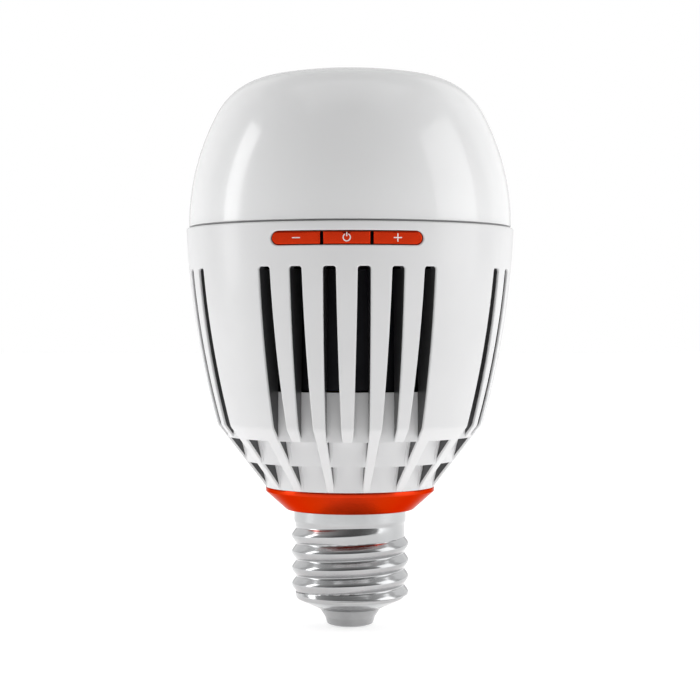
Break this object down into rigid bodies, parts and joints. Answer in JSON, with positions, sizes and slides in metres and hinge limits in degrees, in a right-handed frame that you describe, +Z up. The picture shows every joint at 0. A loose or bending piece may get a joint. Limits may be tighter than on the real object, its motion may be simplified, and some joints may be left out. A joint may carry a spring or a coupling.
{
  "type": "smart light bulb",
  "caption": "Screw-base smart bulb with an opal dome over a slotted, tapering white housing, a red collar ring and a red key row that presses in.",
  "frame": {"origin": "centre of the base's contact face, the lowest point of the bulb", "axes": "+Z up the bulb's axis towards the dome, -Y towards the side with the keys, +X to the right of someone facing the keys"},
  "size_m": [0.0732, 0.0732, 0.1243],
  "materials": {
    "white_plastic": "glossy moulded",
    "dark_plastic": "satin moulded",
    "opal_plastic": "opal, glossy",
    "seal_rubber": "matt",
    "black_aluminium": "black anodised",
    "steel": "satin",
    "thermal_grey": "matt",
    "board_white": "solder-masked aluminium",
    "led_yellow": "phosphor",
    "red_lacquer": "metallic red, glossy",
    "nickel": "nickel plated",
    "insulator_grey": "glossy",
    "cell_wrap": "shrink wrap",
    "board_green": "solder mask",
    "board_black": "black solder mask",
    "ferrite": "matt",
    "coil_tape": "tape",
    "capacitor_sleeve": "sleeve",
    "lead_white": "ribbon",
    "icon_white": "inlaid",
    "stem_plastic": "satin",
    "lead_red": "insulation",
    "lead_black": "insulation"
  },
  "bodies": {
    "root": {"battery_cell": "cell_wrap", "battery_contacts": "nickel", "battery_holder": "dark_plastic", "battery_minus_lead": "lead_black", "battery_plus_lead": "lead_red", "button_board": "board_black", "button_ribbon": "lead_white", "capacitors": "capacitor_sleeve", "centre_contact": "nickel", "choke": "ferrite", "collar_ring": "red_lacquer", "control_chips": "ferrite", "diffuser_dome": "opal_plastic", "diffuser_seal": "seal_rubber", "driver_board": "board_green", "fuse": "ferrite", "heat_sink": "black_aluminium", "housing_shell": "white_plastic", "inner_frame": "dark_plastic", "insulator": "insulator_grey", "lamp_board": "board_white", "lamp_minus_lead": "lead_black", "lamp_plus_lead": "lead_red", "lamp_screws": "steel", "leds": "led_yellow", "live_lead": "lead_red", "neutral_lead": "lead_black", "screw_shell": "nickel", "sink_screws": "steel", "switch_bodies": "dark_plastic", "thermal_pad": "thermal_grey", "transformer_coil": "coil_tape", "transformer_core": "ferrite", "wireless_board": "board_green", "wireless_shield": "steel"},
    "minus_button": {"minus_key": "red_lacquer", "minus_icon": "icon_white"},
    "minus_switch": {"minus_stem": "stem_plastic"},
    "power_button": {"power_key": "red_lacquer", "power_icon": "icon_white"},
    "power_switch": {"power_stem": "stem_plastic"},
    "plus_button": {"plus_key": "red_lacquer", "plus_icon": "icon_white"},
    "plus_switch": {"plus_stem": "stem_plastic"}
  },
  "joints": [
    {"name": "minus_press", "type": "slide", "parent": "root", "child": "minus_button", "axis": [0, 1, 0], "range_m": [0, 0.00035], "stiffness_N_per_m": 400, "springref_m": -0.0005},
    {"name": "minus_switch_press", "type": "slide", "parent": "root", "child": "minus_switch", "axis": [0, 1, 0], "range_m": [0, 0.00035]},
    {"name": "power_press", "type": "slide", "parent": "root", "child": "power_button", "axis": [0, 1, 0], "range_m": [0, 0.00035], "stiffness_N_per_m": 400, "springref_m": -0.0005},
    {"name": "power_switch_press", "type": "slide", "parent": "root", "child": "power_switch", "axis": [0, 1, 0], "range_m": [0, 0.00035]},
    {"name": "plus_press", "type": "slide", "parent": "root", "child": "plus_button", "axis": [0, 1, 0], "range_m": [0, 0.00035], "stiffness_N_per_m": 400, "springref_m": -0.0005},
    {"name": "plus_switch_press", "type": "slide", "parent": "root", "child": "plus_switch", "axis": [0, 1, 0], "range_m": [0, 0.00035]}
  ],
  "couplings": [
    {"joint": "minus_switch_press", "follows": "minus_press", "ratio": 1},
    {"joint": "power_switch_press", "follows": "power_press", "ratio": 1},
    {"joint": "plus_switch_press", "follows": "plus_press", "ratio": 1}
  ]
}
